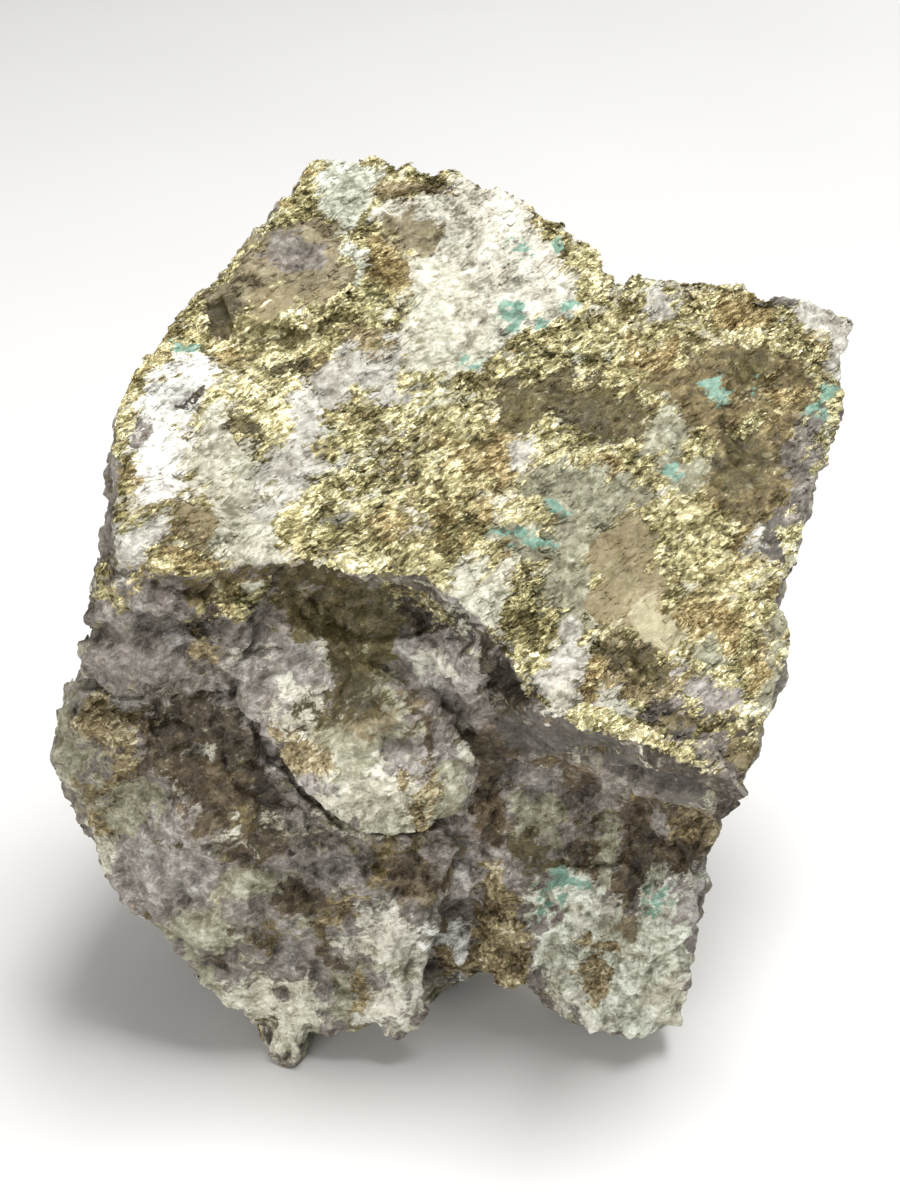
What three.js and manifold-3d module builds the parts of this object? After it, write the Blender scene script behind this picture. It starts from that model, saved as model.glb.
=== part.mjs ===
// A hand-sized block of chalcopyrite ore in quartz, broken from the vein: one solid stone.
// Millimetres, +Z up. The stone stands on a flat broken underside, with its widest broken face, the golden
// face, tilted up towards -Y. Below that face the front is hollow: a ridge and a brow overhang it, and it
// flares out again to three small feet.
import * as THREE from "three";
import { ConvexGeometry } from "three/addons/geometries/ConvexGeometry.js";
import { ImprovedNoise } from "three/addons/math/ImprovedNoise.js";
import { TessellateModifier } from "three/addons/modifiers/TessellateModifier.js";
import { mergeVertices } from "three/addons/utils/BufferGeometryUtils.js";
import Module from "manifold-3d";

const wasm = await Module();
wasm.setup();

// Driving dimensions
const LONGEST_EDGE = 8; // no triangle side of the broken surface is longer
const MOST_SPLITS = 12; // rounds of halving that bring every side under it
const SWELLS = { size: 22, reach: 2.8 }; // the broad unevenness of every broken face
const CHIPS = { size: 8, reach: 1.7 }; // the finer one on top of it
const UNDERCUT = 80; // half the width of the cutter that makes the flat underside

// The golden face is one tilted plane: its height above the ground at a place seen from above.
const goldenFace = (x, y) => 91.9 - 0.246 * x + 0.556 * y;
const GOLDEN_TILT = [29, 14, 0]; // degrees about X and Y that lay a flat thing on the golden face
const onGoldenFace = (places) => places.map(([x, y, lift = 0]) => [x, y, goldenFace(x, y) + lift]);

// Every convex mass below is given by its corners, each [x, y, z].
const core = [
  ...onGoldenFace([
    [-41.3, -22],
    [-40.6, -7.4],
    [-36.7, 0.6],
    [-29.6, 13.3],
    [-18.1, 30.1],
    [0.7, 32.7],
    [9.8, 31.2],
    [25.1, 24],
    [43, -17],
    [40, -24],
    [3, -27],
    [-17, -26],
    [-36, -26],
  ]),
  [-45, -20, 77],
  [-47, -18, 62],
  [-48, 12, 45],
  [-40, 30, 60],
  [-32, 33, 30],
  [-28, 28, 8],
  [-21, 23, -2],
  [0, 38, 60],
  [4, 36, 9],
  [6, 29, -2],
  [38, 28, 45],
  [35, 23, 7],
  [29, 17, -2],
  [33, -16, 30],
  [33, -8, 6],
  [28, -11, -2],
  [-24, -14, -2],
  [-34, 8, 6],
  [-27, 6, -2],
];

// The right wing of the golden face, whose back corner stands out past the core.
const rightWing = [
  ...onGoldenFace([
    [25.1, 23.4],
    [33.6, 24.5],
    [49.4, 26.4],
    [57, 25.1],
    [54.8, 12.2],
    [48, -6.5],
    [43, -17],
    [10, 0],
  ]),
  [50, 28, 70],
  [42, 24, 45],
  [38, -10, 45],
  [10, 20, 50],
];

// A buttress of quartz behind the wing, whose top stands up past the wing's back edge.
const backButtress = [
  [27, 27, 97.5],
  [33, 30, 97],
  [41, 31, 94.5],
  [37, 26, 95],
  [22, 33, 78],
  [46, 30, 72],
  [34, 38, 60],
  [19, 37, 34],
  [38, 32, 30],
  [16, 30, 12],
  [30, 27, 12],
];

// A broken step that is left standing low on the back.
const backStep = [
  [-33, 30, 52],
  [-18, 41, 50],
  [4, 42, 40],
  [-30, 36, 24],
  [-6, 41, 16],
  [-26, 26, 12],
  [8, 30, 30],
];

const shoulder = [
  ...onGoldenFace([
    [-42.7, -29.8],
    [-37.1, -30.8],
    [-32.2, -31.3],
    [-24.5, -28.6],
    [-19.6, -26.8],
    [-20, -15],
    [-40, -15],
  ]),
  [-47.5, -29, 77.4],
  [-48, -30, 72.2],
  [-48, -29, 64.9],
  [-42, -31.5, 65],
  [-35.7, -31.5, 64.8],
  [-30.2, -28.5, 63.8],
  [-24, -26, 72],
  [-28, -15, 62],
  [-44, -15, 62],
];

// The ridge's middle, with the mauve lump that hangs under it.
const middleBrow = [
  ...onGoldenFace([
    [-19.6, -26.8],
    [-10.8, -28.1],
    [-2.3, -29.7],
    [7.5, -33.4],
    [8, -15],
    [-18, -15],
  ]),
  [-2, -28.5, 68.5],
  [4, -29.5, 66],
  [4, -27, 61.5],
  [-12, -19, 71],
  [2, -15, 58],
];

// The front corner of the golden face overhangs the hollow front the furthest.
const cornerBrow = [
  ...onGoldenFace([
    [5, -30.5],
    [7, -33.2],
    [10.1, -38],
    [13.8, -38.3],
    [22.9, -37.3],
    [27.4, -40],
    [36.7, -43.6],
    [41, -34.2],
    [45, -24.6],
    [40, -10],
    [15, -10],
  ]),
  [36.5, -43, 57.5],
  [36.2, -35, 49.5],
  [35.2, -26, 37],
  [14.3, -28, 57.5],
  [21, -29, 56.5],
  [12, -16, 46],
  [30, -16, 40],
];

const centreLump = [
  [-28.8, -27, 68.2],
  [-16.6, -27, 69],
  [-27, -29, 62.6],
  [-22, -32, 53.8],
  [-16.2, -34, 48.6],
  [-12.7, -35, 46.6],
  [-5.9, -36, 46.7],
  [-2.6, -35, 46.6],
  [2.4, -32, 46.6],
  [4, -28, 51.5],
  [3, -26, 56.5],
  [-6.4, -30, 63.2],
  [-12.7, -33, 62.1],
  [-16.6, -35, 56.7],
  [-22, -12, 66],
  [-24, -12, 50],
  [0, -12, 45],
  [0, -12, 62],
];

const leftFlank = [
  [-52.3, -22, 55],
  [-54.5, -20, 49],
  [-54.5, -20, 42.5],
  [-52.7, -21, 39.9],
  [-47.7, -24, 35.6],
  [-41.6, -26, 29.8],
  [-35.5, -25.5, 15.5],
  [-28, -24.5, 4],
  [-17, -24.5, 4.7],
  [-9, -26.2, 11],
  [-4, -24.5, 13],
  [-1, -23, 34],
  [-13, -27, 36],
  [-27, -27.5, 38],
  [-33, -26.5, 42],
  [-42, -23, 54],
  [-52, -8, 50],
  [-49, 12, 46],
  [-44, 10, 26],
  [-24, 0, -2],
  [-5, 0, -2],
  [-5, -15, 48],
  [-44, -5, 62],
];

const middleFoot = [
  [-12.5, -23, 8],
  [-10.4, -26, 6.7],
  [-8.1, -27, 6.1],
  [-6.5, -26.5, 6.3],
  [-3.8, -24, 9.5],
  [-4, -24, 18],
  [-8, -25.5, 20],
  [-13, -25.5, 18],
  [-13, -5, 8],
  [-4, -5, 8],
  [-4, -5, 25],
  [-13, -5, 25],
];

const rightFoot = [
  [15.3, -23, 8.4],
  [18.6, -26, 6.5],
  [23, -27, 7],
  [27.5, -27, 5.9],
  [32.5, -24.5, 4.8],
  [32.6, -24, 16.4],
  [33.3, -21, 28.7],
  [33.5, -19, 36],
  [24, -16.5, 38],
  [4, -16, 36],
  [4, -18.5, 12],
  [12, 0, 6],
  [32, 5, 3],
  [32, 0, 30],
  [12, 0, 30],
];

// The hollows are cut into the core, the back and the front masses. The last ones stand inside them, uncut.
const backMasses = [rightWing, backButtress, backStep];
const frontMasses = [shoulder, middleBrow, cornerBrow, leftFlank, rightFoot];
const lastMasses = [centreLump, middleFoot];

// Low slabs on the golden face, each flush with it on one side and rising to a ledge on the other. Each
// corner is [x, y] and its lift above the face.
const slabs = [
  [
    [-31.2, 6.3, 1.4],
    [-27.7, 2.1, 1.6],
    [-22, 4, 1.4],
    [-17.3, 4.6, 1.6],
    [-11.1, 12.8, 1.2],
    [-14.4, 24.1],
    [-20.6, 25.5],
    [-27, 14.7],
  ],
  [
    [25, -9.3],
    [19.4, -18],
    [18, -24, 0.3],
    [22, -28, 0.8],
    [27.5, -33.1, 1.6],
    [30.7, -26.1, 1.5],
    [31, -20.8, 0.6],
    [28.2, -13.4],
  ],
  [
    [-11, 30.5],
    [0.7, 33, 1.4],
    [9.8, 32.5, 1.8],
    [25, 24.5, 0.3],
    [16, 14],
    [-1, 17],
  ],
  [
    [-35.9, -21.8],
    [-29.7, -21.1],
    [-25.7, -26.1, 1.2],
    [-29, -27.6, 1.3],
    [-32.4, -27.6, 1],
  ],
];

// Rounded forms are eggs: a centre, three half-widths, and a turn about X, Y and Z in degrees.
const knob = { centre: [-23.8, -23, 3.2], halfWidths: [3.4, 5, 4] };
const hollows = [
  { centre: [18, -34, 38], halfWidths: [24, 18.5, 17] }, // the waist, between the brow and the right foot
  { centre: [-34, -31, 57], halfWidths: [14, 10, 8.5], turn: [0, 12, 0] }, // under the shoulder's ledge
  { centre: [-11, -33.5, 74], halfWidths: [18, 13, 8], turn: [0, 16, 0] }, // the scoop under the ridge
  { centre: [5, -24, 0], halfWidths: [10, 17, 8] }, // the arch between the feet
  { centre: [-4.5, 34, 111], halfWidths: [7, 5, 3] }, // the saddle in the top edge
  { centre: [18, 4, 92.5], halfWidths: [9, 5, 3.3], turn: GOLDEN_TILT }, // a pit in the golden face
  { centre: [42, 4, 86.4], halfWidths: [9, 14, 4.5], turn: GOLDEN_TILT }, // a shallow dish beside it
  { centre: [-14, 50, 78], halfWidths: [24, 16, 26], turn: [-8, 12, 0] }, // the hollow high on the back
  { centre: [12, 48, 14], halfWidths: [14, 16, 13] }, // a smaller one near the ground
  { centre: [-62, 26, 74], halfWidths: [20, 22, 20] }, // the dent in the left side
  { centre: [56, 6, 30], halfWidths: [20, 18, 24] }, // the hollow right side
  { centre: [-16, 30, -2], halfWidths: [12, 8, 5] }, // chips out of the underside's edge
  { centre: [30, 2, -2], halfWidths: [7, 9, 5.5] },
];

// The crack behind the front corner, open to the right.
const crack = [
  [32.5, -38.5, 64],
  [33, -38, 60],
  [45, -35.3, 63],
  [45, -36.6, 63],
  [45, -35.5, 57],
  [33, -39.2, 64],
];

function solidOf(geometry) {
  geometry.deleteAttribute("normal");
  geometry.deleteAttribute("uv");
  const merged = mergeVertices(geometry, 1e-4);
  return new wasm.Manifold(
    new wasm.Mesh({
      numProp: 3,
      vertProperties: merged.attributes.position.array,
      triVerts: new Uint32Array(merged.index.array),
    }),
  );
}

function geometryOf(solid) {
  const { vertProperties, triVerts } = solid.getMesh();
  return new THREE.BufferGeometry()
    .setAttribute("position", new THREE.BufferAttribute(vertProperties, 3))
    .setIndex(new THREE.BufferAttribute(triVerts, 1));
}

function hull(corners) {
  return solidOf(new ConvexGeometry(corners.map((corner) => new THREE.Vector3(...corner))));
}

function slab(outline) {
  const sunk = 3; // how deep the slab reaches into the stone
  return hull([...onGoldenFace(outline), ...onGoldenFace(outline.map(([x, y]) => [x, y, -sunk]))]);
}

function egg({ centre, halfWidths, turn = [0, 0, 0] }) {
  const [turnX, turnY, turnZ] = turn.map(THREE.MathUtils.degToRad);
  const geometry = new THREE.IcosahedronGeometry(1, 3)
    .scale(...halfWidths)
    .applyMatrix4(new THREE.Matrix4().makeRotationFromEuler(new THREE.Euler(turnX, turnY, turnZ)))
    .translate(...centre);
  return solidOf(geometry);
}

// The flat underside: everything below the ground is cut away.
function undercut() {
  const cutter = new THREE.BoxGeometry(2 * UNDERCUT, 2 * UNDERCUT, UNDERCUT).translate(0, 0, -UNDERCUT / 2);
  return solidOf(cutter);
}

// Moves every corner of the mesh by smooth noise, so that flat faces swell and straight edges wander.
function roughen(geometry, { size, reach }) {
  const noise = new ImprovedNoise();
  const apart = 40; // keeps the three directions' noises from looking alike
  const position = geometry.attributes.position;
  for (let i = 0; i < position.count; i += 1) {
    const point = new THREE.Vector3().fromBufferAttribute(position, i);
    const { x, y, z } = point.clone().divideScalar(size);
    const [dx, dy, dz] = [0, apart, 2 * apart].map((offset) => noise.noise(x + offset, y + offset, z));
    point.addScaledVector(new THREE.Vector3(dx, dy, dz), reach);
    position.setXYZ(i, point.x, point.y, point.z);
  }
  return geometry;
}

// Slides the finished stone sideways until its box is centred over the origin.
function centred(geometry) {
  geometry.computeBoundingBox();
  const middle = geometry.boundingBox.getCenter(new THREE.Vector3());
  return geometry.translate(-middle.x, -middle.y, 0);
}

function stone() {
  let block = hull(core);
  for (const mass of [...backMasses, ...frontMasses]) block = block.add(hull(mass));
  for (const hollow of hollows) block = block.subtract(egg(hollow));
  for (const mass of lastMasses) block = block.add(hull(mass));
  for (const outline of slabs) block = block.add(slab(outline));
  block = block.add(egg(knob)).subtract(hull(crack));

  const fine = new TessellateModifier(LONGEST_EDGE, MOST_SPLITS).modify(geometryOf(block));
  const rough = roughen(roughen(mergeVertices(fine, 1e-4), SWELLS), CHIPS);
  return centred(geometryOf(solidOf(rough).subtract(undercut())));
}

const material = new THREE.MeshStandardMaterial({ color: 0x9c9079, roughness: 0.8, metalness: 0.1 });
const mesh = new THREE.Mesh(stone(), material);
mesh.name = "ore_block";
const group = new THREE.Group();
group.add(mesh);
export default group;
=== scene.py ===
import math
from collections import namedtuple

import bmesh
import bpy
import numpy as np
from mathutils import Matrix, Vector
from mathutils.bvhtree import BVHTree


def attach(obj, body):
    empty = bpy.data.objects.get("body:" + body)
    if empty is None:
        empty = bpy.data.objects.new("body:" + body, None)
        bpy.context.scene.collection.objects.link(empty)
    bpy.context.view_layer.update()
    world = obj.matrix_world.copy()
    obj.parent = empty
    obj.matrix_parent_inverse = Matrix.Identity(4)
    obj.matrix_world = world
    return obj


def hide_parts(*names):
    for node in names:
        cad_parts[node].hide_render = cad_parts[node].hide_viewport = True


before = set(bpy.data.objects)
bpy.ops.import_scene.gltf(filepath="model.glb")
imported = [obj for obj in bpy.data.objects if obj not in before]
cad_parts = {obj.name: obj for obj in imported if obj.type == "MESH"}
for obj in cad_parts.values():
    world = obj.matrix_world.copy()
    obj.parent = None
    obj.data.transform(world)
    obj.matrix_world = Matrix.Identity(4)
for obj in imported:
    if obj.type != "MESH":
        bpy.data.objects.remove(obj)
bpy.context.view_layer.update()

MM = 0.001  # the arrays here are in millimetres, Blender's objects in metres
NODE = "ore_block"

# Camera: the photograph's viewing angle. Pixels are those of its 900 x 1200 frame.
PHOTO_WIDTH, PHOTO_HEIGHT = 900, 1200
LENS, SENSOR = 75.6, 36.0  # mm; the sensor lies along the frame's longer side
CAMERA_PLACE = np.array((-1.7, -302.7, 235.7))
LOOKS_DOWN = 30.0  # degrees
CLIP_START = 0.01  # metres

# The golden face is a tilted plane: the height of its middle, and its slopes along X and Y.
GOLDEN_MIDDLE = np.array((0.0, 0.0, 91.2))
GOLDEN_SLOPES = (-0.246, 0.556)

# Zones: the golden face is near its plane and looks its way, and the hidden sides look away from the camera.
GOLDEN_COSINE = 0.38  # least cosine between the surface's normal and the golden face's
HIDDEN_COSINE = -0.12  # the same with the line of sight
COSINE_SLOPE = 14.0  # mm of cover for a whole cosine
GOLDEN_DEPTH = 8.0  # how far from the plane its gold ends
GOLDEN_REACH = 7.0  # how far from the plane its patches end
FRONT_REACH = 13.0  # the same for the patches of the front, along the line of sight
GOLDEN_OVERLAP, FRONT_OVERLAP = 2.0, 1.0  # how far either face's patches go over their common edge

# Surface
VOXEL = 0.44  # size of the mesh's squares
NORMAL_ROUNDS = 6  # how often its normals are evened out
PIECE_CUTS = (-19.0, 17.0)  # x of the two cuts that part the fine mesh into three pieces
STREAK = (0.70, 0.68, 0.21)  # the way the golden grain runs: to the right and up the golden face
STREAK_STRETCH = 2.2  # how much longer than wide it is
FLOOR_HOLD = 1.5  # within this height of the ground the underside stays flat
PLATE_LEDGE = 0.08  # how much of a plate's slope its ledge takes up
LEDGE_RISE = 0.3  # half the width of a ledge's step
LEDGE_STEP = (-1.0, 0.6)  # its foot and its top, as shares of its height
LEDGE_FADING = 1.5  # how fast it fades: the power of a straight fading
# Painted shade: low places of the broken surface are coloured darker and raised ones lighter.
SHADED_HEIGHTS, HEIGHT_SHADES = (-1.0, 0.8), (-0.30, 0.14)  # what lies low looks darker

# Noise
OCTAVE_SHIFT = 17.3  # cells by which each octave is moved from the one before
CLOUD_GAIN = 1.6  # brings clouds to about -1 to 1
FACET_TILT, FACET_FALL = 1.8, 1.1  # how steep facets are, and how fast each one ends around its middle
FACET_GAIN, FACET_SINK = 2.0, 0.8  # bring them to about -1 to 1

# Covers: how far inside a patch or a cloud a place lies
FAR = 3.0  # they are only told up to this far in or out
PUREST = 0.9  # the most that one mineral covers those below it
SPOT_CORNERS = 12  # of the outline that a spot becomes

# Golden grains: closed wedges with a square foot and a top edge near the side that faces down the slope
SQUARE = np.array([(-1, -1), (1, -1), (1, 1), (-1, 1)], float)
RIDGE = np.array([(-0.8, 0.7), (0.8, 0.7)])
GRAIN_SIDES = [(3, 2, 1, 0), (0, 1, 5, 4), (5, 2, 3, 4), (1, 2, 5), (0, 4, 3)]
# Painted shade at each grain's foot and painted light along its top edge, through the shade attribute.
GRAIN_SHADING = (-0.5, -0.5, -0.2, -0.2, 0.4, 0.4)  # its corners are shaded as if this much higher
GRAIN_LENGTH, GRAIN_SPREAD = 0.95, 0.28  # the middle of a wide range, and its logarithm's spread
GRAIN_LENGTHS = (0.5, 1.6)  # the shortest and the longest
GRAIN_WIDTH = (0.30, 0.55)  # as shares of the length
GRAIN_RISE = (0.3, 0.9)  # the top edge's height, as shares of half the width
GRAIN_SUNK = 0.08  # how deep its foot lies in the stone
GRAIN_SKEW = 0.35  # how far its corners stray, as a share of half its size
GRAIN_SWAY, GRAIN_TIP = 0.16, 0.10  # how far it strays from the streak and from upright
GRAIN_GROUND = 2.0  # no grains below this height
GRAIN_MINERALS = ("gold", "rust", "bronze")
GRAIN_COSINE, GRAIN_COSINE_SLOPE = 0.6, 5  # where the golden face's own grains begin
GOLDEN_FACE_GRAINS, OTHER_GRAINS = 24500, 14000

# Studio: each light's place and size in metres and its power in watts, and the floor
LIGHTS = {
    "overhead": ((0.14, -0.04, 0.75), 0.40, 7.8),
    "front_fill": ((-0.4, -0.9, 0.25), 0.5, 7.0),
    "rear_fill": ((0.45, 0.80, 0.35), 0.5, 2.4),
}
LIGHTS_AIM = (0, 0, 0.06)  # metres
WORLD_STRENGTH = 0.28
FLOOR_HALF = 2.5  # metres
FLOOR_BELOW = 0.02  # how far under the stone it lies
FLOOR_COLOURS = ((214, 213, 211), (222, 221, 219))
FLOOR_MOTTLE = 120.0
FLOOR_ROUGHNESS = 0.85

# Material
ROUGHNESS = (0.60, 0.40)  # of bare stone and of gold
GOLDEN_METAL = 0.2  # minerals with more metal than this glint
GOLDEN_GAIN = 1.4  # brings the metal of gold nearly to 1
TINTS = ((214, 226, 216), (255, 252, 246), (232, 218, 200))  # from cool to warm
TINT_STRENGTH = 0.55
DIRT_COLOUR = (92, 86, 72)  # in the pits

# Each mineral's colours from dark to light and its metal; how far its surface is broken as blocks, as hackly
# grain and as fine sugar; how strong its finest relief is (0 to 1), and how softly it ends. The material lays
# them over each other in this order.
Rock = namedtuple("Rock", "colours metal blocks grain sugar bite soft")
ROCKS = {
    "mauve": Rock(((66, 59, 51), (118, 111, 103), (170, 163, 156)), 0.0, 1.1, 0.30, 0.22, 1.0, 1.6),
    # Gold's pale top colours stand for glints on its strokes: partly painted highlight.
    "gold": Rock(((72, 66, 38), (124, 116, 76), (176, 168, 126), (226, 219, 177), (255, 253, 222)),
                 0.60, 0.6, 0.50, 0.08, 1.0, 1.2),
    # A paler gold, partly painted highlight where the gold glints most.
    "gilt": Rock(((98, 90, 58), (158, 150, 108), (216, 209, 168), (255, 253, 226)),
                 0.55, 0.6, 0.50, 0.08, 1.0, 1.5),
    "white": Rock(((110, 107, 95), (178, 175, 161), (216, 213, 201), (232, 230, 221)),
                  0.0, 0.7, 0.14, 0.14, 0.8, 1.8),
    "chalk": Rock(((124, 121, 113), (200, 199, 193), (232, 232, 229), (240, 240, 238)),
                  0.0, 0.7, 0.14, 0.14, 0.7, 1.8),
    "cream": Rock(((114, 111, 91), (170, 167, 149), (210, 208, 193), (230, 228, 215)),
                  0.0, 0.6, 0.14, 0.14, 0.8, 1.8),
    "lavender": Rock(((86, 80, 74), (138, 132, 126), (198, 194, 189)), 0.0, 0.9, 0.26, 0.20, 0.9, 1.6),
    "frost": Rock(((90, 86, 64), (146, 144, 122), (204, 204, 186)), 0.0, 0.7, 0.20, 0.12, 0.8, 1.8),
    "pearl": Rock(((114, 110, 99), (182, 180, 171), (224, 223, 217)), 0.0, 0.7, 0.20, 0.12, 0.8, 1.8),
    "mint": Rock(((106, 104, 86), (168, 169, 153), (218, 222, 210), (236, 240, 230)),
                 0.0, 0.7, 0.20, 0.14, 0.8, 1.6),
    # A dark grey, laid mostly as painted shade under the overhang.
    "slate_and_painted_shade": Rock(((58, 53, 48), (88, 83, 76), (114, 108, 101)), 0.0, 0.8, 0.10, 0.06, 0.7, 1.2),
    # A dark brown, laid mostly as painted shade under ledges and in hollows.
    "umber_and_painted_shade": Rock(((34, 27, 18), (62, 53, 39), (100, 89, 72)), 0.0, 1.0, 0.34, 0.22, 1.0, 1.8),
    "brown": Rock(((44, 35, 21), (84, 71, 50), (134, 119, 94)), 0.05, 1.0, 0.36, 0.22, 1.0, 1.4),
    "taupe": Rock(((86, 76, 52), (130, 119, 92), (172, 162, 136)), 0.05, 0.8, 0.20, 0.10, 1.0, 1.2),
    "olive": Rock(((52, 46, 24), (84, 75, 43), (118, 108, 70)), 0.15, 0.5, 0.18, 0.10, 0.9, 2.0),
    "tan": Rock(((106, 94, 64), (132, 120, 88), (158, 146, 114)), 0.0, 0.3, 0.04, 0.04, 0.5, 0.7),
    "sand": Rock(((140, 131, 102), (170, 162, 132), (190, 183, 154)), 0.0, 0.3, 0.04, 0.04, 0.4, 1.2),
    "ochre": Rock(((60, 50, 26), (94, 82, 51), (126, 112, 75), (166, 153, 111)),
                  0.15, 0.6, 0.30, 0.08, 1.0, 1.3),
    "bronze": Rock(((78, 66, 42), (122, 108, 76), (164, 151, 117), (212, 203, 174)),
                   0.35, 0.7, 0.45, 0.08, 1.0, 1.2),
    "rust": Rock(((84, 70, 40), (134, 117, 76), (184, 168, 124), (236, 226, 188)),
                 0.45, 0.5, 0.40, 0.08, 1.0, 1.4),
    "teal": Rock(((84, 116, 102), (122, 156, 140), (170, 198, 184)), 0.0, 0.5, 0.15, 0.10, 0.7, 1.6),
}

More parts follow.
